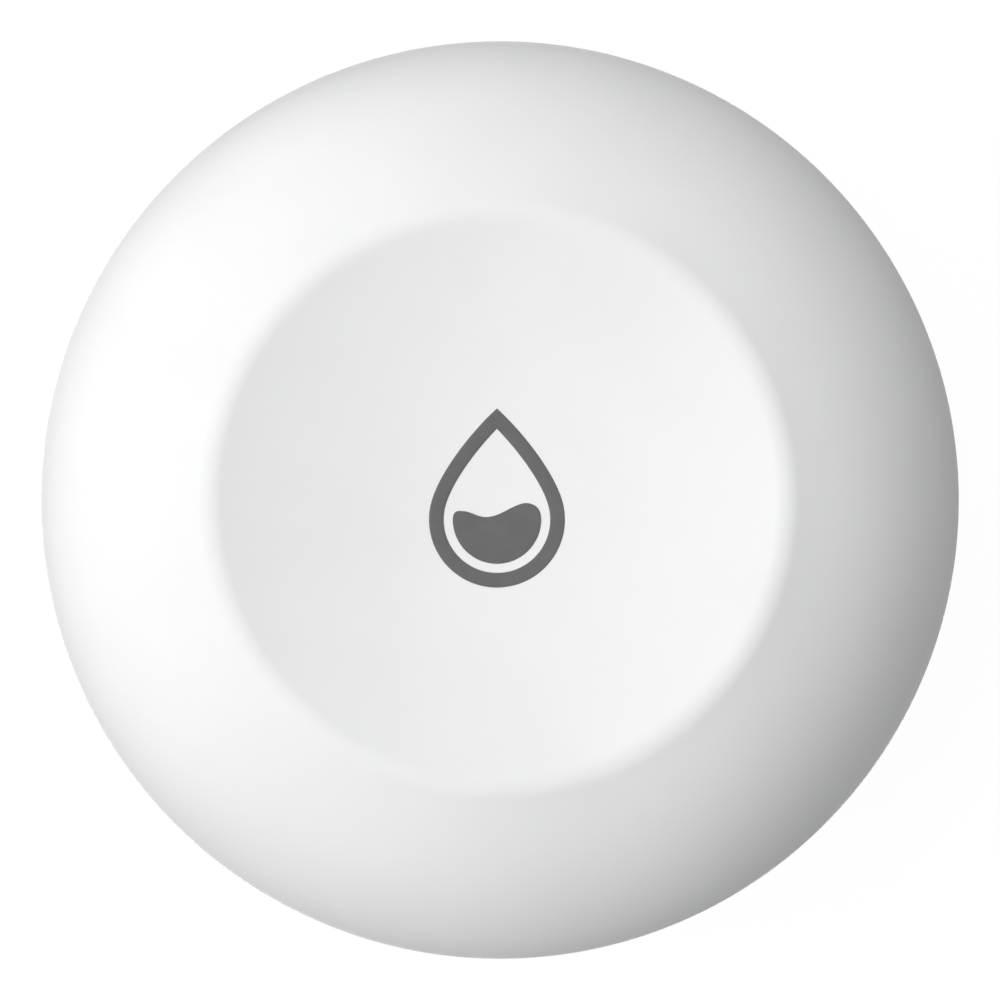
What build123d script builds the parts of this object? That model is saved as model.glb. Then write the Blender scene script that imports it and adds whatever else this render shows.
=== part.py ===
from build123d import *
import os
from math import acos, asin, cos, degrees, radians, sin, sqrt

# A round water leak sensor that lies on the floor, in millimetres. The origin is the centre of the
# underside at floor level, +Z points up through the dished top, and +X runs through the right probe.

# Outer form of the top shell and the base
overall_diameter = 50.0
overall_height = 15.0
dish_edge_radius = 15.26
dish_sphere_radius = 65.0
inner_crest_radius = 0.6
shoulder_slope = 22.0
shoulder_handle_share = 0.35
side_handle_share = 0.70
equator_height = 4.8
shell_wall = 1.4
shell_edge_round = 0.25
foot_height = 0.5
base_band_height = 2.25
base_side_land = 0.35
base_floor = 1.6

# Clearances and travels
press_travel = 0.25
press_spare_gap = 0.2
running_clearance = 0.03
touch_gap = 0.03
assembly_gap = 0.1
shell_side_gap = 0.25
overrun = 1.0

# Feet: a low ring broken into four arcs, so that water runs in under the base
foot_count = 4
foot_first_angle = 45.0
foot_arc = 44.0
foot_width = 2.0
foot_inset = 3.2
foot_edge_bevel = 0.15

# Upstand that the top shell slides over, with its seal groove
upstand_wall = 1.8
upstand_step = 0.6
upstand_over_board = 0.7
seal_groove_above_band = 0.7
seal_groove_height = 1.1
seal_groove_depth = 0.9
seal_groove_lip = 0.4
seal_lip_height = 0.25
seal_lip_reach = 0.2

# Snap hooks of the top shell
hook_count = 3
hook_first_angle = 30.0
hook_width = 4.0
hook_thickness = 1.1
hook_wall_gap = 0.3
hook_barb_reach = 0.9
hook_barb_land = 0.3
hook_barb_lead = 0.45
hook_catch_gap = 0.05
hook_bridge_height = 0.7

# Press post under the dish
post_radius = 2.2
post_rib_count = 4
post_rib_reach = 6.5
post_rib_thickness = 1.0
post_rib_height_share = 0.25
post_edge_round = 0.3

# Coin cell, a standard 20 mm by 3.2 mm size
cell_diameter = 20.0
cell_height = 3.2
cell_edge_bevel = 0.3
cell_crimp_height = 0.35
cell_crimp_reach = 0.7
cell_crimp_drop = 0.12
cell_cap_inset = 1.3
cell_cap_proud = 0.55
cell_cap_round = 0.2

# Battery cover with its bayonet lugs, seal and coin slot
cover_floor = 1.6
cover_flange_thickness = 0.7
cover_flange_lip = 0.8
cell_side_gap = 0.25
spigot_wall = 1.55
spigot_side_gap = 0.15
lug_count = 3
first_lug_angle = 90.0
lug_angle = 24.0
lug_thickness = 0.7
lug_reach = 0.95
lug_ramp = 0.25
cover_turn = 40.0
slot_side_angle = 2.5
stop_side_angle = 1.0
ledge_thickness = 0.7
channel_top_gap = 0.2
cover_seal_section = 1.1
coin_radius = 20.0
coin_slot_width = 1.9
coin_slot_depth = 0.9
index_dimple_radius = 0.45
index_dimple_depth = 0.2
index_dimple_inset = 1.0
cover_edge_round = 0.2

# Battery well
well_wall = 1.2
well_guide_gap = 0.4
well_above_cell = 0.3
contact_window_width = 5.0
contact_window_depth = 2.0

# Circuit board, its bosses and screws
board_thickness = 1.0
board_edge_gap = 0.4
board_over_cell = 1.0
board_hole_radius = 1.0
board_notch_gap = 0.4
boss_count = 3
boss_first_angle = 90.0
boss_radius = 2.2
boss_pilot_depth = 3.2
boss_rib_thickness = 1.0
boss_rib_drop = 1.2
screw_shank_radius = 0.8
screw_length = 3.0
screw_head_radius = 1.5
screw_head_height = 0.8
screw_head_round = 0.25
screw_recess_width = 0.5
screw_recess_length = 1.8
screw_recess_depth = 0.5
floor_rib_height = 1.2
floor_rib_thickness = 0.9
floor_rib_angles = (30.0, 150.0, 270.0)

# Water probes with their seals, bosses and spring contacts
probe_shank_radius = 1.0
probe_head_radius = 1.95
probe_head_thickness = 0.6
probe_floor_gap = 0.12
probe_dome_height = 0.2
probe_head_side_gap = 0.1
probe_seal_section = 0.8
probe_boss_radius = 2.9
probe_boss_height = 2.3
probe_above_boss = 0.5
probe_tip_bevel = 0.2
probe_angles = (0.0, 180.0)

# Stamped spring strips
strip_thickness = 0.15
strip_bend_radius = 0.3
cell_contact_width = 4.0
cell_contact_slit_width = 0.8
cell_contact_foot = 3.5
cell_contact_rise = 5.5
cell_contact_tail = 2.0
cell_contact_tail_lift = 0.45
cell_contact_start = 7.0
side_contact_width = 3.0
side_contact_foot = 3.9
side_contact_lean = 0.7
side_contact_tip_lift = 0.25
side_contact_touch_share = 0.45
probe_contact_width = 1.6
probe_contact_half_length = 1.5
probe_contact_bow = 0.5

# Tactile switch, with its heights as shares of the room between the board and the shell's ceiling
switch_side = 5.2
switch_corner = 0.4
switch_base_share = 0.27
switch_cover_thickness = 0.2
switch_well_radius = 2.0
switch_well_floor_share = 0.068
switch_flange_radius = 1.7
switch_flange_share = 0.056
switch_stem_radius = 1.2
switch_stem_share = 0.16
switch_stem_round = 0.15
switch_leg_width = 0.7
switch_leg_reach = 0.6
switch_leg_thickness = 0.2
switch_leg_spacing = 3.6
dome_height_share = 0.113
dome_thickness = 0.08
dome_rim_radius = 1.9

# Board components
chip_side = 5.0
chip_height = 0.85
chip_bevel = 0.1
chip_dot_radius = 0.35
chip_dot_depth = 0.05
chip_place_shares = (-0.42, 0.38)
crystal_length = 3.2
crystal_width = 2.5
crystal_height = 0.7
crystal_rim = 0.2
crystal_rim_height = 0.35
crystal_place_shares = (-0.66, 0.10)
capacitor_length = 3.5
capacitor_width = 2.8
capacitor_height = 1.9
capacitor_bevel = 0.25
capacitor_place_shares = (0.40, -0.42)
led_length = 1.6
led_width = 0.8
led_base_height = 0.3
led_lens_length = 1.1
led_lens_height = 0.3
led_lens_round = 0.1
led_place_shares = (0.32, 0.10)
passive_length = 1.0
passive_width = 0.5
passive_height = 0.35
passive_round = 0.06
passive_place_shares = (
    (-0.42, 0.60, 0.0), (-0.54, 0.58, 0.0), (-0.30, 0.60, 0.0), (-0.22, 0.36, 90.0),
    (-0.22, 0.46, 90.0), (-0.63, 0.30, 90.0), (-0.66, -0.04, 0.0), (-0.66, 0.24, 0.0),
    (0.20, 0.30, 0.0), (0.34, 0.22, 0.0), (0.62, 0.20, 90.0), (0.58, -0.22, 0.0),
    (0.22, -0.30, 90.0), (-0.22, -0.34, 0.0), (-0.36, -0.38, 90.0), (-0.62, -0.24, 0.0),
)

# Levels, from the floor up
full_turn = 360.0
base_bottom = foot_height
base_top = base_bottom + base_floor
band_top = base_bottom + base_band_height
shell_edge = band_top + press_travel + press_spare_gap
cover_top = base_bottom + cover_floor
cell_bottom = cover_top
cell_top = cell_bottom + cell_height
board_bottom = cell_top + board_over_cell
board_top = board_bottom + board_thickness
upstand_top = board_bottom + upstand_over_board
well_top = cell_top + well_above_cell
flange_top = base_bottom + cover_flange_thickness
counterbore_top = flange_top + assembly_gap
seal_bore_top = flange_top + cover_seal_section + assembly_gap * 2
ledge_top = seal_bore_top + ledge_thickness
lug_bottom = ledge_top + assembly_gap
lug_top = lug_bottom + lug_thickness
channel_top = lug_top + channel_top_gap
seal_groove_low = band_top + seal_groove_above_band
seal_groove_high = seal_groove_low + seal_groove_height
window_top = upstand_top - hook_bridge_height
catch_level = window_top - hook_catch_gap
hook_tip = catch_level - hook_barb_land - hook_barb_lead
window_bottom = hook_tip - press_travel - assembly_gap
probe_boss_top = base_top + probe_boss_height
probe_top = probe_boss_top + probe_above_boss
probe_head_top = probe_floor_gap + probe_head_thickness
probe_seal_top = probe_head_top + probe_seal_section + touch_gap + touch_gap

# Radii, from the middle out
overall_radius = overall_diameter / 2
shell_inner_radius = overall_radius - shell_wall
upstand_outer = shell_inner_radius - shell_side_gap
upstand_inner = upstand_outer - upstand_wall
upstand_upper = upstand_outer - upstand_step
cell_radius = cell_diameter / 2
cell_cap_radius = cell_radius - cell_cap_inset
cup_radius = cell_radius + cell_side_gap
spigot_radius = cup_radius + spigot_wall
throat_radius = spigot_radius + spigot_side_gap
lug_radius = spigot_radius + lug_reach
seal_bore_radius = lug_radius + spigot_side_gap
cover_neck_radius = seal_bore_radius - cover_seal_section - touch_gap * 2
flange_radius = seal_bore_radius + cover_flange_lip
counterbore_radius = flange_radius + spigot_side_gap
well_outer = seal_bore_radius + well_wall
well_guide_radius = cell_radius + well_guide_gap
ring_radius = (well_outer + upstand_inner) / 2
board_radius = upstand_inner - board_edge_gap
hook_outer = upstand_inner - hook_wall_gap
hook_inner = hook_outer - hook_thickness
screw_pilot_radius = screw_shank_radius + running_clearance
lug_pitch = full_turn / lug_count
slot_angle = lug_angle + slot_side_angle + slot_side_angle
side_contact_angle = first_lug_angle + (
    lug_angle / 2 + stop_side_angle + lug_pitch - cover_turn - slot_angle / 2
) / 2

# The crest is the inside round with the wall laid over it, and the dish meets it without a step.
crest_radius = inner_crest_radius + shell_wall
dish_angle = degrees(asin(dish_edge_radius / dish_sphere_radius))
crest_middle = dish_edge_radius + crest_radius * sin(radians(dish_angle))
crest_centre = Vector(crest_middle, overall_height - crest_radius)
dish_centre_height = crest_centre.Y + (crest_radius + dish_sphere_radius) * cos(radians(dish_angle))

# The switch stands in the room between the board and the shell's ceiling.
ceiling = dish_centre_height - dish_sphere_radius - shell_wall
switch_room = ceiling - board_top
switch_cover_bottom = board_top + switch_base_share * switch_room
switch_cover_top = switch_cover_bottom + switch_cover_thickness
switch_flange_top = switch_cover_bottom - touch_gap
switch_flange_bottom = switch_flange_top - switch_flange_share * switch_room
dome_bottom = board_top + switch_well_floor_share * switch_room
dome_height = dome_height_share * switch_room
plunger_top = switch_cover_top + switch_stem_share * switch_room
rib_bottom = ceiling - post_rib_height_share * switch_room


def off(centre, radius, angle):
    """The point at a distance from a centre, at an angle from upright towards the rim."""
    return centre + Vector(sin(radians(angle)), cos(radians(angle))) * radius


def skin(depth):
    """Edges of the shell's surface at a depth under its outer face, from the axis to the lower edge."""
    dish_centre = Vector(0, dish_centre_height)
    dish_radius = dish_sphere_radius + depth
    middle = dish_centre - Vector(0, dish_radius)
    half_out = off(dish_centre, -dish_radius, -dish_angle / 2)
    round_radius = crest_radius - depth
    crest_start = off(crest_centre, round_radius, -dish_angle)
    crest_top = off(crest_centre, round_radius, (shoulder_slope - dish_angle) / 2)
    crest_end = off(crest_centre, round_radius, shoulder_slope)
    side = Vector(overall_radius - depth, equator_height)
    shoulder_reach = shoulder_handle_share * (side.X - crest_end.X)
    shoulder_handle = off(crest_end, shoulder_reach, shoulder_slope + full_turn / 4)
    side_handle = side + Vector(0, side_handle_share * (crest_end.Y - side.Y))
    return [
        ThreePointArc(middle, half_out, crest_start),
        ThreePointArc(crest_start, crest_top, crest_end),
        Bezier(crest_end, shoulder_handle, side_handle, side),
        Line(side, Vector(side.X, shell_edge)),
    ]


def turned(edges):
    """A solid of revolution about Z from edges drawn as radius and height."""
    return revolve(Plane.XZ * make_face(edges), Axis.Z)


def turned_outline(*points):
    """A solid of revolution about Z from the corners of its section."""
    return turned(Polyline(*points, close=True).edges())


def disc(radius, low, high):
    """A round block on the Z axis between two heights."""
    return turned_outline((0, low), (radius, low), (radius, high), (0, high))


def ring(inner, outer, low, high):
    """A ring on the Z axis between two radii and two heights."""
    return turned_outline((inner, low), (outer, low), (outer, high), (inner, high))


def sector(inner, outer, low, high, middle_angle, angle):
    """A part of a ring, as wide as an angle and centred on another."""
    outline = Polyline((inner, low), (outer, low), (outer, high), (inner, high), close=True)
    piece = revolve(Plane.XZ * make_face(outline.edges()), Axis.Z, angle)
    return Rot(0, 0, middle_angle - angle / 2) * piece


def block(length, width, low, high, corner=0):
    """An upright block centred on the Z axis, with round corners if asked."""
    outline = RectangleRounded(length, width, corner) if corner else Rectangle(length, width)
    return Pos(0, 0, low) * extrude(outline, high - low)


def around(piece, count, first_angle):
    """Copies of a piece, spread evenly about Z."""
    return [Rot(0, 0, first_angle + full_turn / count * turn) * piece for turn in range(count)]


def at_angles(piece, angles):
    """Copies of a piece at stated angles about Z."""
    return [Rot(0, 0, angle) * piece for angle in angles]


def radial_slab(outline, width):
    """A slab from an outline drawn as radius and height, standing on both sides of the X axis."""
    return extrude(Plane.XZ * outline, width / 2, both=True)


def strip(points, width):
    """A bent spring strip whose middle line is drawn as radius and height."""
    line = FilletPolyline(*points, radius=strip_bend_radius)
    return radial_slab(trace(line, line_width=strip_thickness), width)


def on_board(piece, shares, turn=0):
    """A piece moved to its place on the board, given as shares of the board's radius."""
    return Pos(shares[0] * board_radius, shares[1] * board_radius, 0) * Rot(0, 0, turn) * piece


def shell_blank(depth):
    """The solid under the shell's surface at a depth, down to the lower edge."""
    edges = skin(depth)
    low_corner = Vector(0, shell_edge)
    closing = [Line(edges[-1] @ 1, low_corner), Line(low_corner, edges[0] @ 0)]
    return turned(edges + closing)


def hook_outline():
    """Arm and barb of one snap hook, drawn as radius and height."""
    barb_outer = hook_outer + hook_barb_reach
    lead_top = hook_tip + hook_barb_lead
    return make_face(
        Polyline(
            (hook_inner, hook_tip),
            (hook_outer, hook_tip),
            (barb_outer, lead_top),
            (barb_outer, catch_level),
            (hook_outer, catch_level),
            (hook_outer, overall_height),
            (hook_inner, overall_height),
            close=True,
        ).edges()
    )


def make_top_shell():
    """Dished top with an even wall, three snap hooks and a ribbed press post."""
    outer = skin(0)
    inner = skin(shell_wall)
    rim = Line(outer[-1] @ 1, inner[-1] @ 1)
    axis = Line(outer[0] @ 0, inner[0] @ 0)
    shell = turned(outer + inner + [rim, axis])
    shell = fillet(shell.edges().group_by(Axis.Z)[0], shell_edge_round)
    post = disc(post_radius, plunger_top + touch_gap, overall_height)
    post = fillet(post.edges().group_by(Axis.Z)[0], post_edge_round)
    rib_line = (post_rib_reach, post_rib_thickness)
    rib = Pos(post_rib_reach / 2, 0, 0) * block(*rib_line, rib_bottom, overall_height)
    hooks = around(radial_slab(hook_outline(), hook_width), hook_count, hook_first_angle)
    inside = post + around(rib, post_rib_count, 0) + hooks
    return shell + (inside & shell_blank(shell_wall / 2))


def base_outline():
    """Section of the base from the axis to the rim, up the upstand and back along the floor."""
    corner_round = base_band_height - base_side_land
    low_side = Vector(overall_radius, base_bottom + corner_round)
    low_edge = Vector(overall_radius - corner_round, base_bottom)
    corner_centre = Vector(low_edge.X, low_side.Y)
    corner_middle = off(corner_centre, corner_round, full_turn * 3 / 8)
    groove_bottom = upstand_outer - seal_groove_depth
    walls = Polyline(
        low_side,
        (overall_radius, band_top),
        (upstand_outer, band_top),
        (upstand_outer, seal_groove_low),
        (groove_bottom, seal_groove_low),
        (groove_bottom, seal_groove_high),
        (upstand_outer, seal_groove_high),
        (upstand_outer, seal_groove_high + seal_groove_lip),
        (upstand_upper, seal_groove_high + seal_groove_lip + upstand_step / 2),
        (upstand_upper, upstand_top),
        (upstand_inner, upstand_top),
        (upstand_inner, base_top),
        (0, base_top),
        (0, base_bottom),
        low_edge,
    )
    return [ThreePointArc(low_edge, corner_middle, low_side)] + list(walls.edges())


def foot():
    """One arc of the broken foot ring, with bevelled lower edges."""
    outer = overall_radius - foot_inset
    inner = outer - foot_width
    outline = Polyline(
        (inner, base_top),
        (inner, foot_edge_bevel),
        (inner + foot_edge_bevel, 0),
        (outer - foot_edge_bevel, 0),
        (outer, foot_edge_bevel),
        (outer, base_top),
        close=True,
    )
    return Rot(0, 0, -foot_arc / 2) * revolve(Plane.XZ * make_face(outline.edges()), Axis.Z, foot_arc)


def board_boss():
    """Boss for one board screw, with a rib that ties it to the upstand."""
    post = Pos(ring_radius, 0, 0) * disc(boss_radius, base_bottom + base_floor / 2, board_bottom)
    rib_length = upstand_inner + upstand_wall / 2 - ring_radius
    rib_middle = ring_radius + rib_length / 2
    rib_top = board_bottom - boss_rib_drop
    rib = block(rib_length, boss_rib_thickness, base_bottom + base_floor / 2, rib_top)
    return post + Pos(rib_middle, 0, 0) * rib


def floor_rib():
    """Low rib across the floor from the battery well to the upstand."""
    inner = seal_bore_radius + well_wall / 2
    length = upstand_inner + upstand_wall / 2 - inner
    top = base_top + floor_rib_height
    rib = block(length, floor_rib_thickness, base_top - base_floor / 2, top)
    return Pos(inner + length / 2, 0, 0) * rib


def bayonet_cut():
    """Stepped bore of the battery well with three lug channels and their entry slots."""
    channel_start = -lug_angle / 2 - stop_side_angle
    channel_end = cover_turn + slot_angle / 2
    channel_angle = channel_end - channel_start
    channel_middle = -(channel_start + channel_end) / 2
    radii = (well_guide_radius, seal_bore_radius)
    channel = sector(*radii, ledge_top, channel_top, channel_middle, channel_angle)
    slot = sector(*radii, base_bottom, channel_top, -cover_turn, slot_angle)
    bore = disc(counterbore_radius, base_bottom - overrun, counterbore_top)
    bore += disc(seal_bore_radius, base_bottom - overrun, seal_bore_top)
    bore += disc(throat_radius, base_bottom - overrun, channel_top)
    bore += disc(well_guide_radius, base_bottom - overrun, well_top + overrun)
    return bore + around(channel + slot, lug_count, first_lug_angle)


def contact_window():
    """Pocket in the well's guide ring, through which the side contact reaches the cell."""
    outer = well_guide_radius + contact_window_depth
    inner = well_guide_radius - contact_window_depth
    pocket = block(outer - inner, contact_window_width, channel_top, well_top + overrun)
    return Rot(0, 0, side_contact_angle) * Pos((outer + inner) / 2, 0, 0) * pocket


def probe_bore():
    """Bore of one water probe, with the recess for its head and seal."""
    bore = disc(probe_shank_radius + running_clearance, base_bottom - overrun, probe_boss_top + overrun)
    recess = disc(probe_head_radius + probe_head_side_gap, base_bottom - overrun, probe_seal_top)
    return Pos(ring_radius, 0, 0) * (bore + recess)


def index_dimple(radius):
    """Small round mark that shows where the cover is shut."""
    low = base_bottom - overrun
    return Pos(radius, 0, 0) * disc(index_dimple_radius, low, base_bottom + index_dimple_depth)


def make_base_housing():
    """Base moulding with feet, upstand, battery well, board bosses and probe bosses."""
    root = base_bottom + base_floor / 2
    well = disc(well_outer, root, well_top)
    probe_boss = Pos(ring_radius, 0, 0) * disc(probe_boss_radius, root, probe_boss_top)
    base = turned(base_outline()) + well + around(foot(), foot_count, foot_first_angle)
    base += around(board_boss(), boss_count, boss_first_angle)
    base += at_angles(probe_boss, probe_angles)
    base += at_angles(floor_rib(), floor_rib_angles)
    window_middle = (upstand_inner + upstand_outer) / 2
    window = Pos(window_middle, 0, 0) * block(
        upstand_wall + overrun, hook_width + assembly_gap * 2, window_bottom, window_top
    )
    pilot = Pos(ring_radius, 0, 0) * disc(
        screw_pilot_radius, board_bottom - boss_pilot_depth, board_bottom + overrun
    )
    base -= bayonet_cut()
    base -= contact_window()
    base -= around(window, hook_count, hook_first_angle)
    base -= around(pilot, boss_count, boss_first_angle)
    base -= at_angles(probe_bore(), probe_angles)
    mark = index_dimple(counterbore_radius + index_dimple_inset)
    base -= at_angles(mark, (first_lug_angle, first_lug_angle - cover_turn))
    return base


def make_shell_seal():
    """Silicone ring in the upstand's groove, with two lips towards the shell."""
    inner = upstand_outer - seal_groove_depth + touch_gap
    lip = shell_inner_radius - touch_gap
    waist = lip - seal_lip_reach
    low = seal_groove_low + touch_gap
    high = seal_groove_high - touch_gap
    return turned_outline(
        (inner, low),
        (waist, low),
        (lip, low + seal_lip_height / 2),
        (waist, low + seal_lip_height),
        (waist, high - seal_lip_height),
        (lip, high - seal_lip_height / 2),
        (waist, high),
        (inner, high),
    )


def make_circuit_board():
    """Round board with screw holes and a notch for each snap hook."""
    board = disc(board_radius, board_bottom, board_top)
    hole = Pos(ring_radius, 0, 0) * disc(board_hole_radius, board_bottom - overrun, board_top + overrun)
    notch_inner = hook_inner - board_notch_gap
    notch_length = board_radius + overrun - notch_inner
    notch_width = hook_width + board_notch_gap * 2
    notch = block(notch_length, notch_width, board_bottom - overrun, board_top + overrun)
    notch = Pos(notch_inner + notch_length / 2, 0, 0) * notch
    board -= around(hole, boss_count, boss_first_angle)
    return board - around(notch, hook_count, hook_first_angle)


def make_board_screws():
    """Three pan-head screws with a cross recess."""
    head_top = board_top + screw_head_height
    head = disc(screw_head_radius, board_top, head_top)
    head = fillet(head.edges().group_by(Axis.Z)[-1], screw_head_round)
    shank = disc(screw_shank_radius, board_top - screw_length, board_top)
    recess_bottom = head_top - screw_recess_depth
    arm = block(screw_recess_length, screw_recess_width, recess_bottom, head_top + overrun)
    screw = head + shank - arm - Rot(0, 0, full_turn / 4) * arm
    return Compound(around(Pos(ring_radius, 0, 0) * screw, boss_count, boss_first_angle))


def make_probe():
    """Metal water probe: domed head, shank through the base and a bevelled tip."""
    dome_top = Vector(0, probe_floor_gap)
    head_low = Vector(probe_head_radius, probe_floor_gap + probe_dome_height)
    dome_radius = (probe_head_radius**2 + probe_dome_height**2) / (2 * probe_dome_height)
    dome_middle = Vector(
        probe_head_radius / 2,
        probe_floor_gap + dome_radius - sqrt(dome_radius**2 - (probe_head_radius / 2) ** 2),
    )
    walls = Polyline(
        head_low,
        (probe_head_radius, probe_head_top),
        (probe_shank_radius, probe_head_top),
        (probe_shank_radius, probe_top - probe_tip_bevel),
        (probe_shank_radius - probe_tip_bevel, probe_top),
        (0, probe_top),
        dome_top,
    )
    probe = turned([ThreePointArc(dome_top, dome_middle, head_low)] + list(walls.edges()))
    return Pos(ring_radius, 0, 0) * probe


def make_probe_seals():
    """O-rings between each probe's head and the base."""
    section_radius = probe_seal_section / 2
    seal_radius = probe_shank_radius + touch_gap + section_radius
    seal_level = probe_head_top + touch_gap + section_radius
    seal = Pos(ring_radius, 0, seal_level) * Torus(seal_radius, section_radius)
    return Compound(at_angles(seal, probe_angles))


def make_probe_contacts():
    """Spring strips under the board, laid along the rim, that press on the probes' tips."""
    foot_level = board_bottom - strip_thickness / 2
    touch_level = probe_top + touch_gap + strip_thickness / 2
    contact = strip(
        [
            (-probe_contact_half_length, foot_level),
            (probe_contact_half_length, foot_level),
            (probe_contact_half_length + probe_contact_bow, (foot_level + touch_level) / 2),
            (probe_contact_half_length - probe_contact_bow, touch_level),
            (probe_contact_bow - probe_contact_half_length, touch_level),
            (-probe_contact_half_length, (foot_level + touch_level) / 2),
        ],
        probe_contact_width,
    )
    contact = Pos(ring_radius, 0, 0) * Rot(0, 0, full_turn / 4) * contact
    return Compound(at_angles(contact, probe_angles))


def make_negative_contact():
    """Forked leaf spring under the board that presses on the cell's middle."""
    foot_level = board_bottom - strip_thickness / 2
    touch_level = cell_top + touch_gap + strip_thickness / 2
    bend = cell_contact_foot - cell_contact_start
    touch = bend + cell_contact_rise
    tip = touch + cell_contact_tail
    leaf = strip(
        [
            (-cell_contact_start, foot_level),
            (bend, foot_level),
            (touch, touch_level),
            (tip, touch_level + cell_contact_tail_lift),
        ],
        cell_contact_width,
    )
    slit_length = tip - bend + overrun
    slit = block(slit_length, cell_contact_slit_width, cell_bottom, board_bottom)
    return leaf - Pos(bend + slit_length / 2, 0, 0) * slit


def make_positive_contact():
    """Leaf spring that hangs from the board and bears on the cell's side."""
    foot_level = board_bottom - strip_thickness / 2
    touch_radius = cell_radius + touch_gap + strip_thickness / 2
    low = channel_top + side_contact_tip_lift
    bend_radius = touch_radius + side_contact_lean
    touch_level = low + side_contact_touch_share * (well_top - low)
    leaf = strip(
        [
            (bend_radius + side_contact_foot, foot_level),
            (bend_radius, foot_level),
            (touch_radius, touch_level),
            (bend_radius, low),
        ],
        side_contact_width,
    )
    return Rot(0, 0, side_contact_angle) * leaf


def make_coin_cell_can():
    """Positive can of the coin cell, crimped in at its top, with its filling."""
    crimp_top = cell_top - cell_crimp_drop
    mouth = cell_cap_radius + cell_crimp_reach / 2
    return turned_outline(
        (0, cell_bottom),
        (cell_radius - cell_edge_bevel, cell_bottom),
        (cell_radius, cell_bottom + cell_edge_bevel),
        (cell_radius, crimp_top - cell_crimp_height),
        (cell_radius - cell_crimp_reach / 2, crimp_top),
        (mouth, crimp_top),
        (mouth, cell_top - cell_cap_proud),
        (0, cell_top - cell_cap_proud),
    )


def make_coin_cell_cap():
    """Negative cap of the coin cell, a shallow dish upside down."""
    cap = disc(cell_cap_radius, cell_top - cell_cap_proud, cell_top)
    return fillet(cap.edges().group_by(Axis.Z)[-1], cell_cap_round)


def make_coin_cell_seal():
    """Plastic ring between the cell's can and cap."""
    inner = cell_cap_radius + touch_gap
    outer = cell_cap_radius + cell_crimp_reach / 2 - touch_gap
    return ring(inner, outer, cell_top - cell_cap_proud, cell_top - cell_crimp_drop)


def bayonet_lug():
    """One lug, with its leading underside ramped so that turning draws the cover in."""
    body = sector(cup_radius + spigot_wall / 2, lug_radius, lug_bottom, lug_top, 0, lug_angle)
    edge_angle = radians(lug_angle / 2)
    corner = Vector(lug_radius * cos(edge_angle), lug_radius * sin(edge_angle))
    wedge = Polyline(
        (corner.Y - lug_reach, lug_bottom - overrun),
        (corner.Y + overrun, lug_bottom - overrun),
        (corner.Y + overrun, lug_bottom + lug_ramp),
        (corner.Y, lug_bottom + lug_ramp),
        (corner.Y - lug_reach, lug_bottom),
        close=True,
    )
    cutter = extrude(Plane.YZ * make_face(wedge.edges()), lug_radius + overrun)
    return body - cutter


def make_battery_cover():
    """Round cover with a coin slot, a cup for the cell, a seal neck and three bayonet lugs."""
    cover = turned_outline(
        (0, base_bottom),
        (flange_radius, base_bottom),
        (flange_radius, flange_top),
        (cover_neck_radius, flange_top),
        (cover_neck_radius, seal_bore_top),
        (spigot_radius, seal_bore_top),
        (spigot_radius, lug_top),
        (cup_radius, lug_top),
        (cup_radius, cover_top),
        (0, cover_top),
    )
    rim = cover.edges().filter_by(GeomType.CIRCLE).group_by(Axis.Z)[0]
    cover = fillet(rim, cover_edge_round)
    cover += around(bayonet_lug(), lug_count, first_lug_angle)
    coin = Rot(full_turn / 4, 0, 0) * Cylinder(coin_radius, coin_slot_width)
    cover -= Pos(0, 0, base_bottom + coin_slot_depth - coin_radius) * coin
    mark = index_dimple(flange_radius - index_dimple_inset)
    return cover - Rot(0, 0, first_lug_angle) * mark


def make_cover_seal():
    """O-ring round the cover's neck, against the well's bore."""
    section_radius = cover_seal_section / 2
    level = flange_top + touch_gap + section_radius
    return Pos(0, 0, level) * Torus(cover_neck_radius + touch_gap + section_radius, section_radius)


def make_switch_base():
    """Switch body with its round well and four soldered legs."""
    body = block(switch_side, switch_side, board_top, switch_cover_bottom, switch_corner)
    body -= disc(switch_well_radius, dome_bottom, switch_cover_bottom + overrun)
    leg_length = switch_leg_reach + switch_corner
    leg = block(leg_length, switch_leg_width, board_top, board_top + switch_leg_thickness)
    leg_place = (switch_side + switch_leg_reach - switch_corner) / 2
    for side in (1, -1):
        for row in (1, -1):
            body += Pos(side * leg_place, row * switch_leg_spacing / 2, 0) * leg
    return body


def make_switch_cover():
    """Sheet metal cover of the switch, with the hole for the plunger."""
    cover = block(switch_side, switch_side, switch_cover_bottom, switch_cover_top, switch_corner)
    hole_radius = switch_stem_radius + running_clearance
    return cover - disc(hole_radius, switch_cover_bottom - overrun, switch_cover_top + overrun)


def make_switch_dome():
    """Thin snap dome under the plunger."""
    sphere_radius = (dome_rim_radius**2 + dome_height**2) / (2 * dome_height)
    rim_angle = degrees(asin(dome_rim_radius / sphere_radius))
    centre = Vector(0, dome_bottom + dome_height - sphere_radius)
    inner_radius = sphere_radius - dome_thickness
    outer_rim = off(centre, sphere_radius, rim_angle)
    inner_angle = degrees(acos((outer_rim - centre).Y / inner_radius))
    inner_rim = off(centre, inner_radius, inner_angle)
    outer_top = off(centre, sphere_radius, 0)
    inner_top = off(centre, inner_radius, 0)
    return turned(
        [
            ThreePointArc(outer_rim, off(centre, sphere_radius, rim_angle / 2), outer_top),
            Line(outer_top, inner_top),
            ThreePointArc(inner_top, off(centre, inner_radius, inner_angle / 2), inner_rim),
            Line(inner_rim, outer_rim),
        ]
    )


def make_switch_plunger():
    """Plunger with a flange under the switch's cover."""
    stem = disc(switch_stem_radius, switch_flange_bottom, plunger_top)
    stem = fillet(stem.edges().group_by(Axis.Z)[-1], switch_stem_round)
    return stem + disc(switch_flange_radius, switch_flange_bottom, switch_flange_top)


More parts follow.
